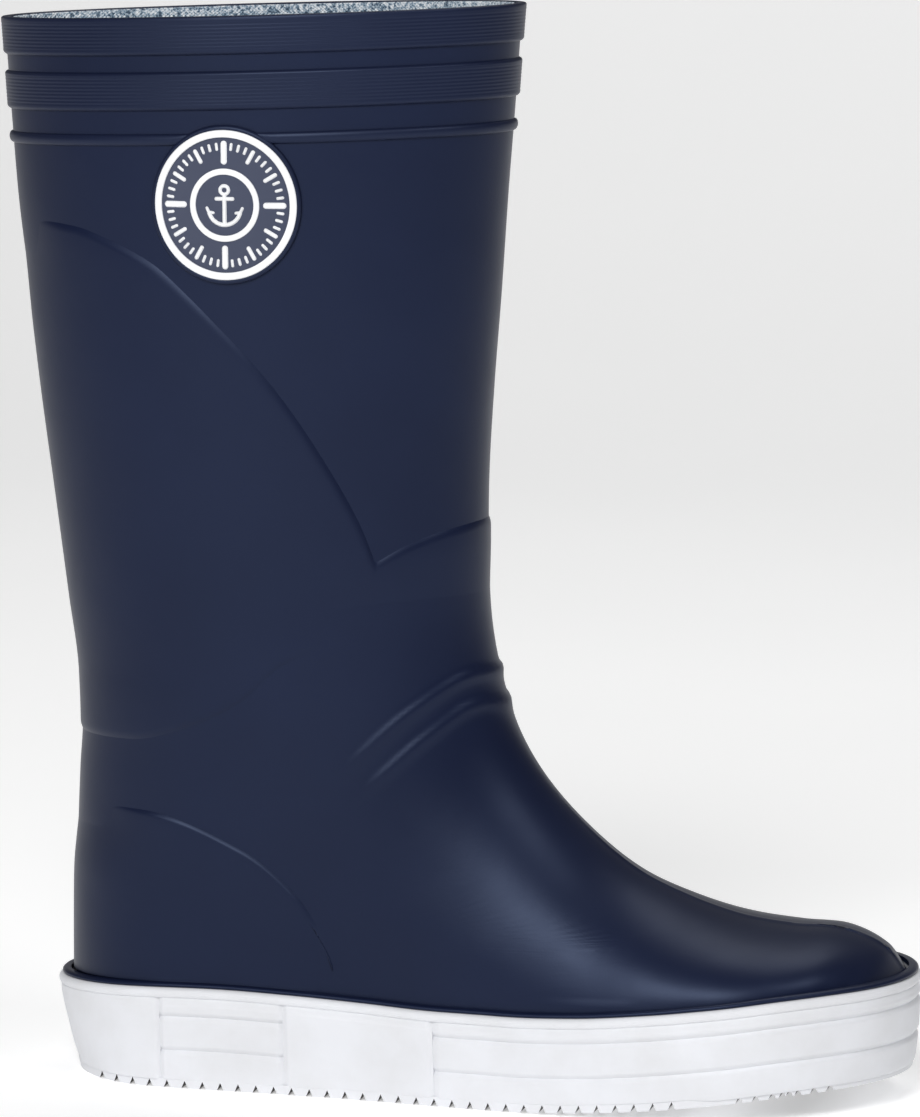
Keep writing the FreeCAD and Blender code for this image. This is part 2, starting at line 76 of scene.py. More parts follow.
SOLE_MIDDLE = [(0.0, 0.0), (30.0, -0.4), (61.0, -1.5), (101.0, -4.0), (144.0, -6.0), (185.0, -4.2),
               (215.0, -1.2), (240.0, 2.0), (261.0, 5.0), (286.0, 7.6)]
SOLE_TOP = [(-10.0, 31.3), (0.0, 31.7), (20.0, 32.7), (40.0, 33.5), (63.0, 33.8), (87.0, 33.3),
            (112.0, 32.3), (138.0, 31.4), (160.0, 31.4), (183.0, 32.4), (207.0, 34.7), (231.0, 37.4),
            (251.0, 39.6), (269.0, 40.6), (286.0, 41.0), (296.0, 41.1)]
SOLE_BOTTOM = [(-10.0, 0.0), (155.0, 0.0), (169.0, 0.5), (189.0, 1.8), (209.0, 3.7), (228.0, 5.9),
               (246.0, 7.9), (264.0, 9.3), (286.0, 10.1), (296.0, 10.3)]
SWEEP = [(-40.0, 286.6), (17.1, 282.0), (30.0, 278.2), (45.0, 271.3), (56.0, 262.3), (67.0, 251.8),
         (78.0, 240.6), (86.0, 231.0), (93.0, 221.2), (100.0, 209.9), (107.0, 197.3), (112.0, 186.6),
         (115.7, 175.8)]
SWEEP_FRONT = [(115.7, 175.8), (125.0, 181.1), (135.6, 185.1), (148.3, 187.4), (173.0, 188.1)]
PANEL_FOOT = [(-60.0, 113.4), (-20.0, 113.6), (13.1, 113.9), (33.1, 114.5), (54.9, 120.3), (71.9, 128.8),
              (87.0, 141.9), (107.8, 149.6), (134.9, 151.6), (194.0, 152.0)]
COUNTER_EDGE = [(-60.0, 92.4), (-10.0, 92.8), (13.1, 92.9), (38.2, 91.9), (70.6, 80.5), (87.4, 68.2),
                (100.1, 50.7), (105.8, 32.1)]
FLEX_RIBS = [
    [(101.7, 102.5), (113.7, 115.7), (127.1, 127.5), (143.0, 137.4), (156.0, 135.2)],
    [(107.8, 96.6), (118.7, 107.4), (131.9, 119.2), (145.9, 128.2), (161.0, 121.5)],
]
RIM_BACK = (-15.6, 347.5)
RIM_FRONT = (155.8, 353.2)

# Cuff, as depths under the rim.
CUFF_TOP_END = 11.9
CUFF_LOWER_SPAN = (17.5, 29.6)
CUFF_BEAD_DEPTH = 39.0
BAND_RAISE = 1.2
RIB_PITCH = 1.13
RIB_DEPTH = 0.07

# Wall of the sole: where its pieces meet along x, and the depths of their grooves.
HEEL_JOINT, ARCH_JOINT, BALL_JOINT = 42.8, 85.0, 136.1
PANEL_GROOVES = (9.6, 21.0)
TOE_GROOVES = (8.3, 19.8)
WALL_END = 2.65
WALL_DROP_AT_TOE = 1.2
NOTCH_WALL_DROP = -0.404

WHITE_TONE = (0.74, 0.75, 0.785)
# Painted shade: a dark colour for the sloping flanks of the tread's notches, standing in for the shade
# inside them.
NOTCH_PAINTED_SHADE = (0.055, 0.053, 0.05, 1.0)


# ---- curves -----------------------------------------------------------------------------
def smooth(points, x):
    """Monotone cubic through (x, value) pairs, for a whole array."""
    p = np.asarray(points, float)
    xs, ys = p[:, 0], p[:, 1]
    slope = np.diff(ys) / np.diff(xs)
    tangent = np.concatenate([[slope[0]], np.zeros(len(xs) - 2), [slope[-1]]])
    same = slope[:-1] * slope[1:] > 0.0
    both = np.where(same, slope[:-1] + slope[1:], 1.0)
    tangent[1:-1] = np.where(same, 2.0 * slope[:-1] * slope[1:] / both, 0.0)
    return hermite(xs, ys, tangent, x)


def hermite(xs, ys, tangent, x):
    """Cubic through (xs, ys) with the given tangents."""
    x = np.clip(np.asarray(x, float), xs[0], xs[-1])
    k = np.clip(np.searchsorted(xs, x, side="right") - 1, 0, len(xs) - 2)
    width = xs[k + 1] - xs[k]
    t = (x - xs[k]) / width
    return (ys[k] * (1 + 2 * t) * (1 - t) ** 2 + tangent[k] * width * t * (1 - t) ** 2
            + ys[k + 1] * t * t * (3 - 2 * t) + tangent[k + 1] * width * t * t * (t - 1))


def catmull(xs, ys, x):
    """Smooth cubic through (xs, ys), which may swing past its points."""
    tangent = np.empty(len(xs))
    tangent[1:-1] = (ys[2:] - ys[:-2]) / (xs[2:] - xs[:-2])
    tangent[0] = (ys[1] - ys[0]) / (xs[1] - xs[0])
    tangent[-1] = (ys[-1] - ys[-2]) / (xs[-1] - xs[-2])
    return hermite(xs, ys, tangent, x)


def step(a, b, x):
    """Smooth rise from 0 at a to 1 at b."""
    t = np.clip((np.asarray(x, float) - a) / (b - a), 0.0, 1.0)
    return t * t * (3 - 2 * t)


def rounding(u):
    """Quarter circle: 0 at the edge, 1 from a share of 1 inward."""
    return np.sqrt(np.maximum(1.0 - (1.0 - np.clip(u, 0.0, 1.0)) ** 2, 0.0))


FRONT_S = np.concatenate([[0.0], np.cumsum(np.hypot(*np.diff(FRONT[:, :2], axis=0).T))])
LINE_S = np.linspace(FRONT_S[1], FRONT_S[-1], 300)
LINE = np.stack([catmull(FRONT_S, FRONT[:, k], LINE_S) for k in range(3)], 1)
FRONT_BY_Z = np.stack([LINE[:, 1], LINE[:, 0]], 1)


def front_x(z):
    """Front outline at a height."""
    return np.interp(z, FRONT_BY_Z[:, 0], FRONT_BY_Z[:, 1])


# ---- shape of the upper -----------------------------------------------------------------
def front_depth(x, z):
    """Depth behind the front outline, as a share of the rounding there."""
    shape = np.shape(x)
    x, z = np.ravel(x), np.ravel(z)
    out = np.empty(len(x))
    a, d = LINE[:-1], np.diff(LINE, axis=0)
    size = d[:, 0] ** 2 + d[:, 1] ** 2
    for i in range(0, len(x), 8000):
        px, pz = x[i:i + 8000, None] - a[:, 0], z[i:i + 8000, None] - a[:, 1]
        t = np.clip((px * d[:, 0] + pz * d[:, 1]) / size, 0.0, 1.0)
        gap = np.hypot(px - t * d[:, 0], pz - t * d[:, 1])
        near = gap.argmin(1)
        pick = (np.arange(len(near)), near)
        out[i:i + 8000] = gap[pick] / (a[near, 2] + t[pick] * d[near, 2])
    return out.reshape(shape)


def half_width(x, z):
    """Half the upper's width and its middle, at a side-view point."""
    foot = smooth(SOLE_HALF_WIDTH, x) - FOXING
    foot = foot * rounding((FRONT[0, 0] - x) / (SOLE_TOE_RADIUS - FOXING))
    share = step(48.0, 135.0, z)
    base = foot * (1.0 - share) + smooth(LEG_HALF_WIDTH, z) * share
    base = base * rounding((x - smooth(BACK, z)) / smooth(BACK_ROUNDING, z))
    depth = np.where(z > FRONT[1, 1] - 3.0, front_depth(x, z), 1.0)
    middle = smooth(SOLE_MIDDLE, x) * (1.0 - share) + LEG_MIDDLE * share
    return base * rounding(depth), middle


def skin(x, z, side):
    """Points of the upper's face from side-view points; side is -1 outer, +1 inner."""
    half, middle = half_width(x, z)
    return np.stack([x, middle + side * half, z], -1)


def normals(grid, closed):
    """Unit normals of a grid of points, rows by columns."""
    if closed:
        along = np.roll(grid, -1, 1) - np.roll(grid, 1, 1)
    else:
        along = np.gradient(grid, axis=1)
    up = np.gradient(grid, axis=0)
    out = np.cross(along, up)
    size = np.linalg.norm(out, axis=-1, keepdims=True)
    return out / np.maximum(size, 1e-9)


def row_grid(spots, around):
    """Closed rows round the upper, each in a plane square to the side view."""
    xf, zf = catmull(FRONT_S, FRONT[:, 0], spots), catmull(FRONT_S, FRONT[:, 1], spots)
    zb = smooth(np.stack([FRONT_S, BACK_Z], 1), spots)
    xb = smooth(BACK, zb)
    turn = 2.0 * math.pi * np.arange(around) / around
    share = 0.5 - 0.5 * np.cos(turn)
    x = xb[:, None] + (xf - xb)[:, None] * share
    z = zb[:, None] + (zf - zb)[:, None] * share
    side = np.where(np.arange(around) <= around // 2, -1.0, 1.0)[None, :]
    return skin(x, z, side * np.ones_like(x))


def level_grid(height, rows, around):
    """Closed rows at heights that may change with x: height(x) gives all rows at once."""
    turn = 2.0 * math.pi * np.arange(around) / around
    share = 0.5 - 0.5 * np.cos(turn)
    z = height(np.full((rows, around), 60.0))
    for _ in range(14):
        x = smooth(BACK, z) + (front_x(z) - smooth(BACK, z)) * share
        z = height(x)
    side = np.where(np.arange(around) <= around // 2, -1.0, 1.0)[None, :]
    return skin(x, z, side * np.ones_like(x))


def rim_height(x):
    """Height of the rim, which rises toward the toe."""
    slope = (RIM_FRONT[1] - RIM_BACK[1]) / (RIM_FRONT[0] - RIM_BACK[0])
    return RIM_BACK[1] + slope * (x - RIM_BACK[0])


# ---- meshes -----------------------------------------------------------------------------
def place(points):
    """Millimetres of the CAD to metres of the frame."""
    return (np.asarray(points, float).reshape(-1, 3) + ORIGIN) * 0.001


def make(name, points, faces, material, body="leg", blend=False, smooth_angle=None):
    """Mesh object with its material, riding on a body, or left unparented with its transform baked in.
    """
    mesh = bpy.data.meshes.new(name)
    mesh.from_pydata(place(points).tolist(), [], [tuple(map(int, f)) for f in faces])
    mesh.update()
    mesh.shade_smooth()
    if smooth_angle:
        mesh.set_sharp_from_angle(angle=math.radians(smooth_angle))
    obj = bpy.data.objects.new(name, mesh)
    bpy.context.scene.collection.objects.link(obj)
    mesh.materials.append(material)
    if blend:
        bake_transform(obj)
    else:
        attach(obj, body)
    return obj


def grid_faces(rows, columns, closed_around, closed_up=False):
    """Quads of a grid of points, as a flat list of corner numbers."""
    r = np.arange(rows if closed_up else rows - 1)
    c = np.arange(columns if closed_around else columns - 1)
    r, c = np.meshgrid(r, c, indexing="ij")
    r2, c2 = (r + 1) % rows, (c + 1) % columns
    quads = np.stack([r * columns + c, r * columns + c2, r2 * columns + c2, r2 * columns + c], -1)
    return quads.reshape(-1, 4).tolist()


# ---- materials --------------------------------------------------------------------------
class Nodes:
    """Short way to wire a material's nodes."""

    def __init__(self, name):
        self.material = bpy.data.materials.new(name)
        self.material.use_nodes = True
        self.tree = self.material.node_tree
        self.shader = self.tree.nodes["Principled BSDF"]

    def node(self, kind, inputs=(), **settings):
        made = self.tree.nodes.new(kind)
        for key, value in settings.items():
            setattr(made, key, value)
        for key, value in dict(inputs).items():
            if isinstance(value, bpy.types.NodeSocket):
                self.tree.links.new(value, made.inputs[key])
            else:
                made.inputs[key].default_value = value
        return made

    def where(self, source="Object"):
        return self.node("ShaderNodeTexCoord").outputs[source]

    def noise(self, scale, detail=4.0, rough=0.55, source="Object"):
        made = self.node("ShaderNodeTexNoise", {"Vector": self.where(source), "Scale": scale,
                                                "Detail": detail, "Roughness": rough})
        return made.outputs["Fac"]

    def ramp(self, factor, stops):
        made = self.node("ShaderNodeValToRGB", {"Fac": factor})
        bar = made.color_ramp
        while len(bar.elements) < len(stops):
            bar.elements.new(0.5)
        for element, (spot, color) in zip(bar.elements, stops):
            element.position = spot
            element.color = (*color, 1.0)
        return made.outputs["Color"]

    def range(self, factor, low, high):
        return self.node("ShaderNodeMapRange", {"Value": factor, "To Min": low,
                                                "To Max": high}).outputs["Result"]

    def bump(self, height, distance, strength=1.0, normal=None):
        inputs = {"Height": height, "Distance": distance, "Strength": strength}
        if normal is not None:
            inputs["Normal"] = normal
        return self.node("ShaderNodeBump", inputs).outputs["Normal"]

    def set(self, **values):
        for key, value in values.items():
            socket = self.shader.inputs[key.replace("_", " ")]
            if isinstance(value, bpy.types.NodeSocket):
                self.tree.links.new(value, socket)
            else:
                socket.default_value = value
        return self.material


def moulded(name, dark, light, rough, waves=0.0005):
    """Satin moulded rubber: slight mottling, faint orange peel and long soft waves."""
    n = Nodes(name)
    color = n.ramp(n.noise(14.0, 5.0), [(0.32, dark), (0.70, light)])
    peel = n.bump(n.noise(1300.0, 3.0), 0.00005, 0.35)
    dents = n.bump(n.noise(120.0, 3.0, 0.5), 0.00006, 0.8, peel)
    wavy = n.bump(n.noise(26.0, 2.0, 0.4), waves, 1.0, dents)
    return n.set(Base_Color=color, Roughness=n.range(n.noise(60.0, 4.0), rough - 0.04, rough + 0.05),
                 Normal=wavy, Specular_IOR_Level=0.36, Specular_Tint=(0.55, 0.68, 1.0, 1.0))


def white_rubber(name, tone, shade_notches=False):
    """Matt white rubber: fine tooth and a little grime; the tread's version paints shade into the flanks
    of its notches.
    """
    n = Nodes(name)
    worn = tuple(c * k for c, k in zip(tone, (0.93, 0.925, 0.915)))
    color = n.ramp(n.noise(45.0, 6.0, 0.6), [(0.30, worn), (0.62, tone)])
    # Painted shade: faces that slope like the notch flanks turn dark, standing in for the shade in the
    # notches.
    if shade_notches:
        split = n.node("ShaderNodeSeparateXYZ", {"Vector": n.where("Normal")})
        sloping = n.node("ShaderNodeMath", {0: split.outputs["Z"], 1: NOTCH_WALL_DROP, 2: 0.12},
                         operation="COMPARE")
        mixed = n.node("ShaderNodeMix", {0: sloping.outputs[0], 6: color, 7: NOTCH_PAINTED_SHADE},
                       data_type="RGBA")
        color = mixed.outputs[2]
    tooth = n.bump(n.noise(2200.0, 2.0), 0.00004, 0.5)
    return n.set(Base_Color=color, Roughness=n.range(n.noise(80.0), 0.50, 0.62),
                 Normal=n.bump(n.noise(60.0, 2.0, 0.4), 0.00025, 1.0, tooth), Specular_IOR_Level=0.45)


def knit(name, pale, blue, deep, pitch=0.0011):
    """Melange knit: rows of small loops with two yarn colours mixed at random."""
    n = Nodes(name)
    split = n.node("ShaderNodeSeparateXYZ", {"Vector": n.where("UV")})

    def wave(value, scale, shift=0.0):
        turns = n.node("ShaderNodeMath", {0: value, 1: scale, 2: shift}, operation="MULTIPLY_ADD")
        return n.node("ShaderNodeMath", {0: turns.outputs[0]}, operation="SINE").outputs[0]

    courses = wave(split.outputs["Y"], 2.0 * math.pi / pitch)
    wales = wave(split.outputs["X"], 2.0 * math.pi / (pitch * 1.25))
    loops = n.node("ShaderNodeMath", {0: courses, 1: wales}, operation="MULTIPLY").outputs[0]
    both = n.node("ShaderNodeMath", {0: loops, 1: 0.5, 2: 0.5}, operation="MULTIPLY_ADD").outputs[0]
    yarn = n.noise(760.0, 2.0, 0.8)
    color = n.ramp(yarn, [(0.36, deep), (0.46, blue), (0.54, pale), (0.66, (0.86, 0.89, 0.92))])
    fuzz = n.bump(n.noise(1800.0, 3.0), 0.0002, 0.6)
    return n.set(Base_Color=color, Roughness=0.92, Normal=n.bump(both, 0.0004, 0.9, fuzz),
                 Sheen_Weight=0.3, Sheen_Roughness=0.5, Specular_IOR_Level=0.2)


def speckled(name, low, high, scale, rough, bump):
    """Plain material of two mixed tones with a fine grain."""
    n = Nodes(name)
    color = n.ramp(n.noise(scale, 5.0, 0.65), [(0.35, low), (0.65, high)])
    return n.set(Base_Color=color, Roughness=rough,
                 Normal=n.bump(n.noise(scale * 2.0, 3.0), bump, 0.8), Specular_IOR_Level=0.35)


NAVY = moulded("navy_pvc_satin", (0.0034, 0.0058, 0.0225), (0.0046, 0.0078, 0.0280), 0.40)
NAVY_CUFF = moulded("navy_pvc_cuff", (0.0052, 0.0078, 0.0245), (0.0068, 0.0100, 0.0300), 0.42, 0.0003)
WHITE = white_rubber("white_foxing_rubber", WHITE_TONE)
# The tread's notches carry painted shade.
TREAD = white_rubber("white_tread_rubber", WHITE_TONE, shade_notches=True)
CORE = speckled("core_rubber", (0.60, 0.60, 0.59), (0.70, 0.70, 0.69), 300.0, 0.8, 0.0002)
BOARD = speckled("fibre_board", (0.30, 0.24, 0.17), (0.46, 0.38, 0.28), 500.0, 0.85, 0.0002)
LINING = knit("melange_knit_lining", (0.62, 0.68, 0.74), (0.24, 0.34, 0.44), (0.045, 0.075, 0.12))
FOOTBED = knit("footbed_brushed_knit", (0.40, 0.43, 0.48), (0.22, 0.25, 0.31), (0.10, 0.12, 0.17),
               0.0014)
FIELD = moulded("badge_field_navy", (0.040, 0.046, 0.075), (0.062, 0.068, 0.10), 0.50, 0.0)
RELIEF = white_rubber("badge_relief_white", (0.84, 0.85, 0.87))


# ---- upper ------------------------------------------------------------------------------
AROUND = 300


def ridge(points, x, z, width, fade_low, fade_high):
    """Soft moulded rib along a smooth side-view line: 1 on the line, fading to both ends."""
    p = np.asarray(points, float)
    s = np.concatenate([[0.0], np.cumsum(np.hypot(*np.diff(p, axis=0).T))])
    t = np.linspace(0.0, s[-1], 90)
    line = np.stack([catmull(s, p[:, 0], t), catmull(s, p[:, 1], t)], 1)
    out = np.zeros(x.shape)
    close = (x > p[:, 0].min() - 12.0) & (x < p[:, 0].max() + 12.0)
    close &= (z > p[:, 1].min() - 12.0) & (z < p[:, 1].max() + 12.0)
    gap = np.hypot(x[close][:, None] - line[:, 0], z[close][:, None] - line[:, 1])
    near = gap.argmin(1)
    reach = gap[np.arange(len(near)), near]
    # the rib's upper flank is short and its lower flank long
    above = z[close] > line[near, 1]
    shape = np.where(above, np.exp(-(reach / (0.55 * width)) ** 2), np.exp(-(reach / width) ** 2))
    end = s[-1]
    out[close] = (shape * step(0.0, fade_low, t[near])
                  * (1.0 - step(end - fade_high, end + 0.01, t[near])))
    return out


def upper_relief(grid):
    """Outward relief of the upper's face: flex ribs on the instep and the ridge over the toe."""
    x, y, z = grid[..., 0], grid[..., 1], grid[..., 2]
    raise_by = np.zeros(x.shape)
    for k, rib in enumerate(FLEX_RIBS):
        raise_by += (1.0 - 0.15 * k) * ridge(rib, x, z, 2.4, 16.0, 2.0)
    half, middle = half_width(x, z)
    top = (x > 150.0) & (half < 9.0)
    crest = 0.42 * np.exp(-((y - middle) / 1.3) ** 2) * step(162.0, 200.0, x)
    return raise_by + np.where(top, crest, 0.0)


def build_upper():
    """Rubber skin of foot, ankle and leg in one piece."""
    rim = FRONT_S[-2]
    spots = np.linspace(FRONT_S[1] - 15.0, rim - 1.6, 292)
    face = row_grid(spots, AROUND)
    out = normals(face, True)
    outer = face + out * upper_relief(face)[..., None]
    keep = np.unique(np.linspace(0, len(spots) - 1, 34).astype(int))[::-1]
    inner = (face - out * 2.1)[keep]
    points = np.concatenate([outer, inner])
    faces = grid_faces(len(points), AROUND, True, True)
    obj = make("upper_skin", points, faces, NAVY, blend=True)
    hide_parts("foot_shell", "ankle_shell", "leg_shell")


def grid_uv(obj, points, rows, columns):
    """UV in metres along the rows and up the columns of a closed grid."""
    grid = np.asarray(points, float).reshape(rows, columns, 3) * 0.001
    along = np.linalg.norm(np.roll(grid, -1, 1) - grid, axis=2)
    u = np.concatenate([np.zeros((rows, 1)), np.cumsum(along, 1)], 1)
    u = np.repeat(u.mean(0)[None], rows, 0)
    up = np.linalg.norm(np.diff(grid, axis=0), axis=2).mean(1)
    v = np.concatenate([[0.0], np.cumsum(up)])
    layer = obj.data.uv_layers.new(name="cloth")
    loops = np.empty(len(obj.data.loops), np.int64)
    obj.data.loops.foreach_get("vertex_index", loops)
    row, column = loops // columns, loops % columns
    poly = np.repeat(np.arange(len(obj.data.polygons)), 4)[:len(loops)]
    first = column.reshape(-1, 4)
    wrap = (first.max(1) == columns - 1) & (first.min(1) == 0)
    column = np.where(wrap[poly] & (column == 0), columns, column)
    uv = np.stack([u[row, column], v[row]], 1).astype(np.float32)
    layer.data.foreach_set("uv", uv.ravel())


def build_lining():
    """Knitted lining of foot, ankle and leg in one piece."""
    rim = FRONT_S[-2]
    spots = np.linspace(FRONT_S[1] - 16.5, rim - 0.9, 190)
    face = row_grid(spots, 200)
    out = normals(face, True)
    inside = face - out * 3.4
    keep = np.unique(np.linspace(0, len(spots) - 1, 24).astype(int))[::-1]
    outside = (face - out * 2.3)[keep]
    lip = (face - out * 2.85)[-1:] + np.array([0.0, 0.0, 0.45])
    points = np.concatenate([inside, lip, outside])
    faces = grid_faces(len(points), 200, True, True)
    faces = [f[::-1] for f in faces]
    obj = make("knit_lining", points, faces, LINING, blend=True)
    grid_uv(obj, points, len(points), 200)
    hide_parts("foot_lining", "ankle_lining", "leg_lining")


def level_normals(grid):
    """Outward directions of level rows, lying flat."""
    along = np.roll(grid, -1, 1) - np.roll(grid, 1, 1)
    out = np.cross(along, np.array([0.0, 0.0, 1.0]))
    return out / np.linalg.norm(out, axis=-1, keepdims=True)


def ring(name, profile, around, material, node):
    """Closed ring round the leg from a section of (depth under the rim, distance out)."""
    depth = np.array([p[0] for p in profile])[:, None]
    away = np.array([p[1] for p in profile])[:, None, None]
    grid = level_grid(lambda x: rim_height(x) - depth, len(profile), around)
    from_badge = np.hypot((grid[..., 0] - BADGE_CENTRE[0]) / BADGE_HALF[0],
                          (grid[..., 2] - BADGE_CENTRE[1]) / BADGE_HALF[1])[..., None]
    room = np.where(grid[..., 1:2] < 0.0, step(0.90, 1.03, from_badge), 1.0)
    points = grid + level_normals(grid) * (np.minimum(away, 0.5) + np.maximum(away - 0.5, 0.0) * room)
    faces = grid_faces(len(profile), around, True, True)
    obj = make(name, points, faces, material)
    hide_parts(node)
    return obj


def ribbed(top, bottom):
    """Outer face of a cuff band, from its lower edge up, with fine ribs."""
    count = int((bottom - top - 2.0) / RIB_PITCH * 8)
    spots = np.linspace(bottom - 1.0, top + 1.0, count)
    phase = 2.0 * math.pi * (spots - top) / RIB_PITCH
    fade = step(0.0, 1.2, bottom - 1.0 - spots) * step(0.0, 1.2, spots - top - 1.0)
    away = BAND_RAISE - RIB_DEPTH * fade * (0.5 + 0.5 * np.cos(phase))
    return list(zip(spots, away))


def build_cuff():
    """Two ribbed bands and a thin bead under the rim."""
    out = BAND_RAISE
    top_edge = [(h + CUFF_TOP_END, a) for h, a in
                ((0.5, -0.35), (0.35, 0.1), (0.1, 0.6), (-0.3, 1.0), (-0.7, out))]
    lip = [(0.55, 1.15), (0.22, 0.98), (0.02, 0.65), (-0.05, 0.1), (-0.05, -1.1), (0.05, -1.75),
           (0.35, -2.15), (0.8, -2.3), (1.6, -2.25), (5.0, -1.6), (10.0, -0.9)]
    ring("cuff_top_band", top_edge + ribbed(0.2, CUFF_TOP_END) + lip, 260, NAVY_CUFF,
         "cuff_band_top")
    low_start, low_end = CUFF_LOWER_SPAN
    low_edge = [(h + low_end, a) for h, a in
                ((0.4, -0.35), (0.25, 0.1), (0.0, 0.6), (-0.4, 1.0), (-0.7, 1.15))]
    high_edge = [(h + low_start, a) for h, a in
                 ((0.8, 1.15), (0.5, 1.0), (0.15, 0.6), (-0.1, 0.1), (-0.2, -0.35))]
    ring("cuff_lower_band", low_edge + ribbed(low_start, low_end) + high_edge, 260, NAVY_CUFF,
         "cuff_band_lower")
    bead = [(CUFF_BEAD_DEPTH - 1.9 * math.cos(a), -0.25 + 1.55 * math.sin(a) ** 0.8)
            for a in np.linspace(math.pi, 0.0, 16)]
    ring("cuff_bead_ring", bead, 260, NAVY_CUFF, "cuff_bead")


def slope_stretch(curve, x):
    """How much a sloping edge stretches a width measured straight up."""
    rise = (curve(x + 0.5) - curve(x - 0.5))
    return np.minimum(np.sqrt(1.0 + rise * rise), 2.4)


EDGE = [(0.0, -0.20), (0.35, 0.10), (0.7, 0.40), (1.1, 0.64), (1.6, 0.79), (2.3, 0.85)]
SOFT_EDGE = [(0.0, -0.14), (0.5, 0.09), (1.0, 0.32), (1.6, 0.52), (2.3, 0.66), (3.1, 0.72)]


def build_panel():
    """Raised panel of the leg, under the swept line and down to the arc over the ankle."""
    around = 420

    def top(x):
        return np.where(x < SWEEP[-1][0], smooth(SWEEP, x), smooth(SWEEP_FRONT, x))

    def foot(x):
        return smooth(PANEL_FOOT, x)

    low = np.array([e[0] for e in SOFT_EDGE])
    share = np.linspace(0.0, 1.0, 112)[1:-1]
    rows = len(low) * 2 + len(share)

    def heights(x):
        out = np.empty((rows, around))
        out[:len(low)] = foot(x[:len(low)]) + low[:, None] * slope_stretch(foot, x[:len(low)])
        tops = x[-len(low):]
        out[-len(low):] = top(tops) - low[::-1, None] * slope_stretch(top, tops)
        mid = x[len(low):-len(low)]
        out[len(low):-len(low)] = foot(mid) + 4.5 + (top(mid) - foot(mid) - 12.5) * share[:, None]
        return out

    grid = level_grid(heights, rows, around)
    raised = np.array([e[1] for e in SOFT_EDGE])
    away = np.concatenate([raised, np.full(len(share), raised[-1]), raised[::-1]])[:, None]
    x, z = grid[..., 0], grid[..., 2]
    front = step(84.0, 106.0, x) * (1.0 - step(3.0, 30.0, z - foot(x)))
    back = (1.0 - step(-4.0, 14.0, x)) * (1.0 - step(2.0, 40.0, top(x) - z))
    hide = np.maximum(front, back)
    away = np.broadcast_to(away, x.shape) * (1.0 - hide) - 0.22 * hide
    points = grid + level_normals(grid) * away[..., None]
    obj = make("leg_raised_panel", points, grid_faces(rows, around, True), NAVY, blend=True)
    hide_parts("leg_panel")


def build_counter():
    """Thicker heel counter, wrapping the back of the foot."""
    columns, end = 260, 101.5
    u = np.linspace(-1.0, 1.0, columns)
    low = np.array([e[0] for e in EDGE])
    share = np.linspace(0.0, 1.0, 56)[:-1]
    rows = len(share) + len(low)

    def foot(x):
        return smooth(SOLE_TOP, x) + 1.6

    def top(x):
        return smooth(COUNTER_EDGE, x)

    z = np.full((rows, columns), 60.0)
    for _ in range(14):
        back = smooth(BACK, z)
        x = back + (end - back) * np.abs(u) ** 1.6
        z = np.empty((rows, columns))
        body = x[:len(share)]
        z[:len(share)] = foot(body) + (top(body) - foot(body) - 3.5) * share[:, None]
        rim = x[len(share):]
        z[len(share):] = top(rim) - low[::-1, None] * slope_stretch(top, rim)
    side = np.where(u < 0.0, 1.0, -1.0)[None, :] * np.ones_like(x)
    grid = skin(x, z, side)
    raised = np.array([e[1] for e in EDGE])
    away = np.concatenate([np.full(len(share), raised[-1]), raised[::-1]])[:, None]
    away = np.broadcast_to(away, x.shape)
    fade = step(end - 13.0, end - 1.0, x)
    back_fade = (1.0 - step(18.0, 44.0, x)) * (1.0 - step(2.0, 26.0, top(x) - z))
    hide = np.maximum(fade, back_fade)
    away = away * (1.0 - hide) - 0.22 * hide
    points = grid + normals(grid, False) * away[..., None]
    obj = make("heel_counter_panel", points, grid_faces(rows, columns, False), NAVY, blend=True)
    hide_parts("heel_counter")


# ---- badge ------------------------------------------------------------------------------
def on_leg(x, z, away):
    """Points a distance out from the leg's outer side."""
    side = -np.ones_like(x)
    d = 0.4
    along = skin(x + d, z, side) - skin(x - d, z, side)
    up = skin(x, z + d, side) - skin(x, z - d, side)
    out = np.cross(along, up)
    out /= np.linalg.norm(out, axis=-1, keepdims=True)
    return skin(x, z, side) + out * away[..., None]


def badge_spot(r, a):
    """Side-view point at a share of the badge's radius and a turn from its top."""
    x = BADGE_CENTRE[0] + BADGE_HALF[0] * r * np.sin(a)
    return x, BADGE_CENTRE[1] + BADGE_HALF[1] * r * np.cos(a)


def disc(name, profile, around, material, node=None, closed=False):
    """Round piece on the badge from a section of (share of the radius, height)."""
    r = np.array([p[0] for p in profile])[:, None]
    h = np.array([p[1] for p in profile])[:, None]
    a = 2.0 * math.pi * np.arange(around)[None, :] / around
    x, z = badge_spot(r * np.ones_like(a), a * np.ones_like(r))
    points = on_leg(x, z, h * np.ones_like(x))
    faces = grid_faces(len(profile), around, True, closed)
    obj = make(name, points, faces, material)
    if node:
        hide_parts(node)
    return obj


def capsule(px, pz, a, b, radius):
    """Signed distance to a rounded bar between two points."""
    ax, az = a
    dx, dz = b[0] - ax, b[1] - az
    t = np.clip(((px - ax) * dx + (pz - az) * dz) / (dx * dx + dz * dz), 0.0, 1.0)
    return np.hypot(px - ax - t * dx, pz - az - t * dz) - radius


def anchor(px, pz):
    """Signed distance to a plain anchor, in millimetres from the badge's middle."""
    shape = capsule(px, pz, (0.0, 3.9), (0.0, -5.6), 0.62)
    shape = np.minimum(shape, capsule(px, pz, (-2.6, 2.6), (2.6, 2.6), 0.58))
    shape = np.minimum(shape, np.abs(np.hypot(px, pz - 5.4) - 1.35) - 0.52)
    arc = np.abs(np.hypot(px, pz + 0.5) - 5.2) - 0.62
    arc = np.maximum(arc, pz + 1.9)
    shape = np.minimum(shape, arc)
    for side in (-1.0, 1.0):
        shape = np.minimum(shape, capsule(px, pz, (side * 5.0, -2.0), (side * 5.75, -0.4), 0.45))
        shape = np.minimum(shape, capsule(px, pz, (side * 5.0, -1.7), (side * 3.7, -1.9), 0.42))
    return shape


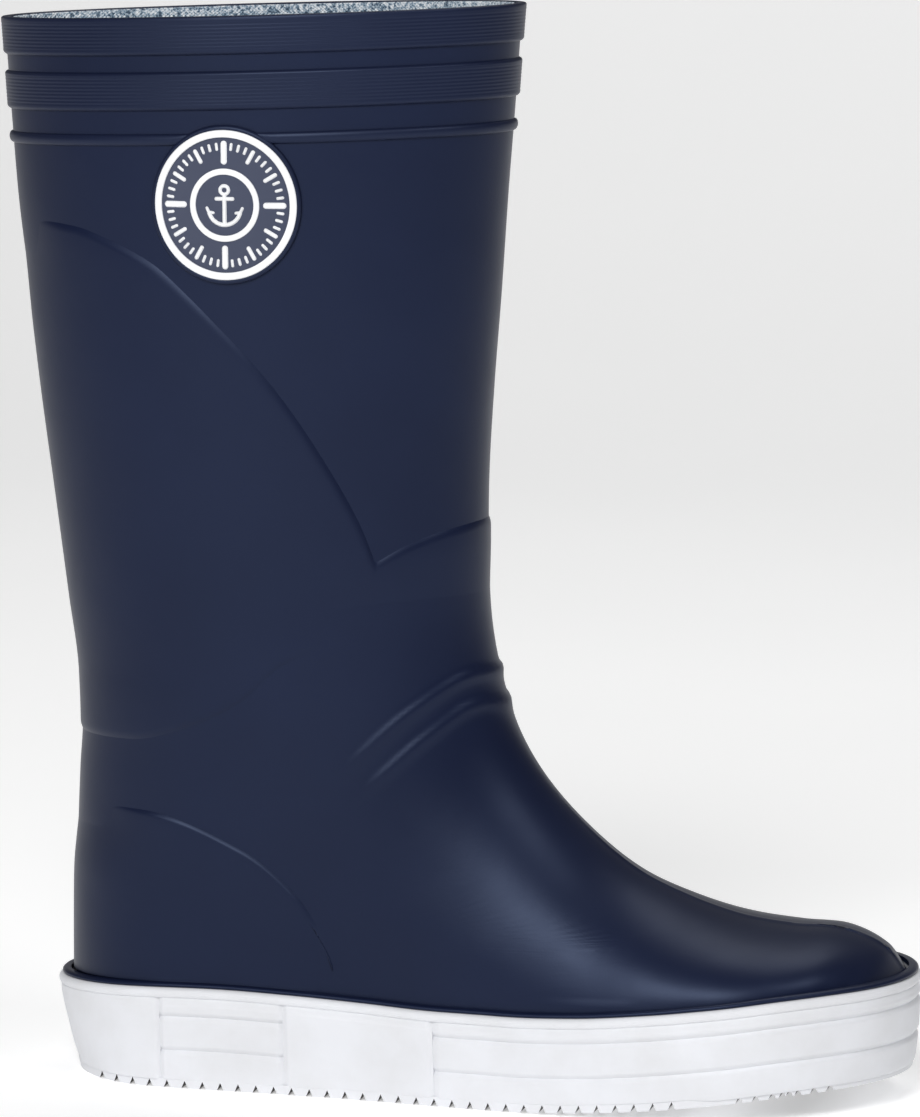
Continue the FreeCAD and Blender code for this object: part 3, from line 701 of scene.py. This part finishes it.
def relief(name, px, pz, distance, base, height, material):
    """Raised moulded marks: the part of a grid where the distance is under a margin."""
    h = base + height * (1.0 - step(-0.42, 0.12, distance))
    points = on_leg(BADGE_CENTRE[0] + px, BADGE_CENTRE[1] + pz, h)
    inside = distance < 0.16
    quads = np.array(grid_faces(px.shape[0], px.shape[1], False))
    kept = quads[inside.ravel()[quads].all(1)]
    used, index = np.unique(kept, return_inverse=True)
    obj = make(name, points.reshape(-1, 3)[used], index.reshape(-1, 4), material)
    return obj


def build_badge():
    """Badge: navy field, two white rings, an anchor and compass ticks."""
    edge = [(1.0, -0.5), (0.998, 0.4), (0.990, 1.0), (0.975, 1.38), (0.958, 1.5), (0.945, 1.45),
            (0.935, 1.25), (0.928, 1.05), (0.928, -0.5)]
    disc("badge_edge_band", edge, 200, NAVY_CUFF, closed=True)
    field = [(0.93, -0.5), (0.93, 1.05), (0.88, 1.05), (0.86, 1.12)]
    field += [(r, 1.12) for r in np.linspace(0.83, 0.04, 26)] + [(0.002, 1.12)]
    disc("badge_base", field, 200, FIELD, "badge_disc")
    rim = [(0.938, 0.9), (0.937, 1.45), (0.932, 1.66), (0.922, 1.77), (0.905, 1.80), (0.878, 1.80),
           (0.860, 1.77), (0.850, 1.66), (0.846, 1.45), (0.845, 0.9)]
    disc("badge_rim_ring", rim, 220, RELIEF, "badge_ring", closed=True)
    inner = [(0.458, 0.9), (0.457, 1.45), (0.450, 1.62), (0.436, 1.68), (0.402, 1.68),
             (0.388, 1.62), (0.382, 1.45), (0.381, 0.9)]
    disc("badge_inner_ring_relief", inner, 160, RELIEF, "badge_inner_ring", closed=True)
    step_size = 0.13
    spots = np.arange(-8.4, 8.4 + step_size, step_size)
    px, pz = np.meshgrid(spots, spots)
    motif = relief("badge_anchor", px, pz, anchor(px, pz + 0.6), 1.08, 0.62, RELIEF)
    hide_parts("badge_motif")
    a = np.linspace(0.0, 2.0 * math.pi, 1081)[None, :]
    r = np.linspace(0.50, 0.81, 54)[:, None]
    px = BADGE_HALF[0] * r * np.sin(a)
    pz = BADGE_HALF[1] * r * np.cos(a)
    marks = np.full(px.shape, 9.0)
    for k in range(48):
        turn = 2.0 * math.pi * k / 48
        long = k % 12 == 0
        middle = k % 4 == 0
        r0 = 0.545 if long else 0.62 if middle else 0.70
        ends = [(BADGE_HALF[0] * q * math.sin(turn), BADGE_HALF[1] * q * math.cos(turn))
                for q in (r0, 0.765)]
        width = 0.95 if long else 0.62 if middle else 0.42
        marks = np.minimum(marks, capsule(px, pz, ends[0], ends[1], width))
    relief("badge_compass_marks", px, pz, marks, 1.08, 0.55, RELIEF)


# ---- cup sole ---------------------------------------------------------------------------
def outline(t):
    """Plan outline of the sole: 0 heel back, 0 to 0.5 outer side, 0.5 toe, on to 1 inner side."""
    t = np.asarray(t, float) % 1.0
    x = SOLE_LENGTH * (0.5 - 0.5 * np.cos(2.0 * math.pi * t))
    half = smooth(SOLE_HALF_WIDTH, x) * rounding(x / SOLE_HEEL_RADIUS)
    half = half * rounding((SOLE_LENGTH - x) / SOLE_TOE_RADIUS)
    side = np.where(t <= 0.5, -1.0, 1.0)
    return np.stack([x, smooth(SOLE_MIDDLE, x) + side * half], -1)


def outline_out(t):
    """Outward directions in plan along the outline."""
    d = 0.0012
    along = outline(t + d) - outline(t - d)
    out = np.stack([along[:, 1], -along[:, 0]], -1)
    return out / np.linalg.norm(out, axis=1, keepdims=True)


def lean(x, z):
    """How far the wall leans in toward the ground, more so at the heel."""
    base = smooth([(-2.0, 2.4), (9.0, 1.5), (31.0, 0.0), (40.0, 0.0)], z)
    return base * (1.0 + 1.7 * (1.0 - step(0.0, 34.0, x)))


def t_at(x, inner=False):
    """Outline parameter where the sole has a given x."""
    t = math.acos(1.0 - 2.0 * x / SOLE_LENGTH) / (2.0 * math.pi)
    return 1.0 - t if inner else t


def strip(name, t, profile, material, closed_around=False):
    """Strip round the sole; profile(x) gives rows of (height, inset) with columns along t."""
    xy, out = outline(t), outline_out(t)
    z, inset = profile(xy[:, 0])
    shift = inset + lean(xy[:, 0][None], z)
    plan = xy[None] - out[None] * shift[..., None]
    points = np.concatenate([plan, z[..., None]], -1)
    rows, columns = z.shape
    faces = [f[::-1] for f in grid_faces(rows, columns, closed_around, True)]
    if not closed_around:
        faces.append([r * columns for r in range(rows)])
        faces.append([r * columns + columns - 1 for r in range(rows)][::-1])
    return make(name, points, faces, material, body="foot", smooth_angle=50)


def panel_profile(grooves, proud, ends, t):
    """Section of a foxing piece, top to bottom outside, then back up inside."""
    levels = [(3.0, 2.6), (3.05, 0.9), (3.2, 0.35), (3.5, 0.16), (4.6, 0.10), (5.4, 0.10),
              (5.8, 0.02 - proud * 0.5), (6.2, -proud)]
    for g in grooves:
        levels += [(g + h, -proud + d) for h, d in
                   ((-1.9, 0.0), (-1.2, 0.12), (-0.6, 0.66), (0.0, 1.05), (0.6, 0.66), (1.2, 0.12),
                    (1.9, 0.0))]
    taper = np.minimum(step(0.0, 0.0022, t - ends[0]), step(0.0, 0.0022, ends[1] - t))

    def profile(x):
        top = smooth(SOLE_TOP, x)
        bottom = smooth(SOLE_BOTTOM, x) + WALL_END - WALL_DROP_AT_TOE * step(218.0, 232.0, x)
        bottom = np.where(x < 40.0, np.maximum(bottom, 6.6 - 1.41 * (x - 3.4)), bottom)
        z = [top - d for d, _ in levels]
        inset = [np.full(len(x), i) for _, i in levels]
        last = z[-1]
        for share in (0.25, 0.5, 0.75, 0.92):
            z.append(last + (bottom + 2.4 - last) * share)
            inset.append(np.full(len(x), -proud))
        for rise, i in ((2.4, -proud), (1.4, 0.03 - 0.6 * proud), (0.5, 0.10), (0.12, 0.20), (0.0, 0.45),
                        (0.0, 3.1)):
            z.append(bottom + rise)
            inset.append(np.full(len(x), i))
        z.append(top - 3.0)
        inset.append(np.full(len(x), 3.1))
        z, inset = np.array(z), np.array(inset)
        tucked = inset + (1.0 - taper)[None, :] * 0.80
        return z, np.where(inset < 2.0, tucked, inset)

    return profile


def build_sole():
    """Wall pieces of the cup sole, its top bead and the flange over it."""
    heel, heel_in = t_at(HEEL_JOINT), t_at(HEEL_JOINT, True)
    arch, arch_in = t_at(ARCH_JOINT), t_at(ARCH_JOINT, True)
    ball, ball_in = t_at(BALL_JOINT), t_at(BALL_JOINT, True)
    spans = [
        ("foxing_heel_wall", "foxing_heel", -heel, heel, (), 0.0, 200),
        ("foxing_ribbed_wall_outer", "foxing_ribbed_outer", heel, arch, PANEL_GROOVES, 0.12, 90),
        ("foxing_ribbed_wall_inner", "foxing_ribbed_inner", arch_in, heel_in, PANEL_GROOVES, 0.12, 90),
        ("foxing_side_wall_outer", "foxing_side_outer", arch, ball, (), 0.30, 90),
        ("foxing_side_wall_inner", "foxing_side_inner", ball_in, arch_in, (), 0.30, 90),
        ("foxing_toe_bumper", "foxing_toe", ball, ball_in, TOE_GROOVES, 0.15, 520),
    ]
    for name, node, t0, t1, grooves, proud, columns in spans:
        t = np.linspace(t0, t1, columns)
        obj = strip(name, t, panel_profile(grooves, proud, (t0, t1), t), WHITE)
        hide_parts(node)

    around = np.arange(700) / 700.0

    def section(rows, base, extra=None):
        def profile(x):
            z = np.array([smooth(SOLE_TOP, x) + base + h for h, _ in rows])
            inset = np.array([np.full(len(x), i) for _, i in rows])
            if extra is not None:
                inset = inset - extra(x)[None, :] * (inset < 2.4)
            return z, inset
        return profile

    bead = [(0.0, 3.3), (0.0, 1.7), (-0.12, 0.9), (-0.45, 0.25), (-1.0, -0.22), (-1.7, -0.42),
            (-2.4, -0.36), (-2.95, -0.12), (-3.25, 0.22), (-3.4, 0.8), (-3.4, 3.1)]
    obj = strip("foxing_top_bead", around, section(bead, 0.0), WHITE, closed_around=True)
    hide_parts("foxing_bead")
    flange = [(0.05, 3.6), (0.05, 1.7), (0.12, 1.30), (0.35, 1.08), (0.65, 1.02), (1.0, 1.15),
              (1.3, 1.5), (1.5, 2.1), (1.55, 2.8), (1.55, 3.6)]

    def ends(x):
        return 0.55 * step(262.0, 280.0, x) + 0.25 * (1.0 - step(2.0, 12.0, x))

    obj = strip("upper_welt_flange", around, section(flange, 0.0, ends), NAVY, closed_around=True)
    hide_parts("upper_flange")


def build_footbed():
    """Fabric-covered footbed with a slight heel cup and arch."""
    around, steps = 200, 26
    edge = level_grid(lambda x: np.full_like(x, 21.4), 1, around)
    edge = edge - level_normals(edge) * 3.75
    spine = edge.copy()
    spine[..., 1] = 0.5 * (edge[..., 1] + np.roll(edge[:, ::-1], 1, 1)[..., 1])
    spine[..., 0] = 18.0 + (edge[..., 0] - 5.0) * (262.0 - 18.0) / 270.0
    k = np.linspace(0.0, 1.0, steps)[:, None, None]
    top = spine + (edge - spine) * k
    share = k[..., 0]
    arch = np.exp(-((top[..., 0] - 105.0) / 34.0) ** 2) * np.clip(top[..., 1] / 30.0, 0.0, 1.0)
    cup = 1.0 - step(20.0, 90.0, top[..., 0])
    top[..., 2] = 21.3 + 1.3 * share ** 4 * (0.35 + cup) + 1.6 * arch
    low = edge.copy()
    low[..., 2] = 15.9
    middle = spine.copy()
    middle[..., 2] = 15.9
    points = np.concatenate([top, low, middle])
    obj = make("footbed_covered", points, grid_faces(len(points), around, True), FOOTBED, body="foot")
    grid_uv(obj, points, len(points), around)
    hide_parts("footbed_foam", "footbed_cover")


build_upper()
build_lining()
build_cuff()
build_panel()
build_counter()
build_badge()
build_sole()
build_footbed()
for node, material in {"outsole_tread": TREAD, "sole_core": CORE, "insole_board": BOARD}.items():
    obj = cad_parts[node]
    for slot in obj.material_slots:
        slot.material = material


# ---- studio -----------------------------------------------------------------------------
def add_floor():
    """Pale studio paper, curved up behind the boot."""
    n = Nodes("studio_paper")
    grey = n.ramp(n.noise(3.0, 3.0), [(0.3, (0.86, 0.86, 0.86)), (0.7, (0.88, 0.88, 0.88))])
    paper = n.set(Base_Color=grey, Roughness=0.9, Specular_IOR_Level=0.1,
                  Emission_Color=(1.0, 1.0, 1.0, 1.0), Emission_Strength=0.36)
    mesh = bpy.data.meshes.new("studio_floor")
    rows = [(-40.0, 0.0)] + [(1.6 + 1.2 * math.sin(a), 1.2 - 1.2 * math.cos(a))
                            for a in np.linspace(0.0, 1.0, 12)]
    points = [(x, y, z) for y, z in rows for x in (-40.0, 40.0)]
    faces = [(2 * k, 2 * k + 1, 2 * k + 3, 2 * k + 2) for k in range(len(rows) - 1)]
    mesh.from_pydata(points, [], faces)
    mesh.shade_smooth()
    mesh.materials.append(paper)
    floor = bpy.data.objects.new("studio_floor", mesh)
    bpy.context.scene.collection.objects.link(floor)


def facing(look):
    """Rotation that points a light or the camera along a direction."""
    return Vector(look).to_track_quat("-Z", "Y").to_euler()


def add_light(name, spot, aim, size, power, color=(1.0, 1.0, 1.0)):
    """Soft rectangular light aimed at a point."""
    data = bpy.data.lights.new(name, "AREA")
    data.shape = "RECTANGLE"
    data.size, data.size_y = size
    data.energy = power
    data.color = color
    lamp = bpy.data.objects.new(name, data)
    lamp.location = spot
    look = np.array(aim) - np.array(spot)
    lamp.rotation_euler = facing(look)
    bpy.context.scene.collection.objects.link(lamp)


def add_camera():
    """Long lens, turned toward the toe and a little above the boot."""
    yaw, distance, rise = math.radians(13.0), 2000.0, 272.8
    target = np.array([135.3, 0.0, 172.7])
    spot = target + np.array([distance * math.sin(yaw), -distance * math.cos(yaw), rise])
    data = bpy.data.cameras.new("camera")
    data.sensor_width = 36.0
    data.lens = 200.014
    data.clip_start = 0.05
    camera = bpy.data.objects.new("camera", data)
    camera.location = place(spot)[0]
    camera.rotation_euler = facing(target - spot)
    bpy.context.scene.collection.objects.link(camera)
    bpy.context.scene.camera = camera


add_floor()
add_light("key", (-0.05, -2.15, 1.80), (0.05, 0.0, 0.06), (1.1, 1.0), 42.0)
add_light("rim", (1.7, -0.9, 2.1), (0.05, 0.0, 0.10), (0.8, 0.8), 12.0)
add_light("fill", (-0.9, -2.2, 1.0), (0.05, 0.0, 0.05), (0.8, 0.6), 9.0)
add_light("top", (0.1, 1.1, 2.3), (0.0, 0.2, 0.1), (1.6, 1.3), 13.0)
world = bpy.data.worlds.new("studio")
world.use_nodes = True
world.node_tree.nodes["Background"].inputs["Color"].default_value = (1.0, 1.0, 1.0, 1.0)
world.node_tree.nodes["Background"].inputs["Strength"].default_value = 0.12
bpy.context.scene.world = world
add_camera()
bpy.context.scene.view_settings.view_transform = "Standard"
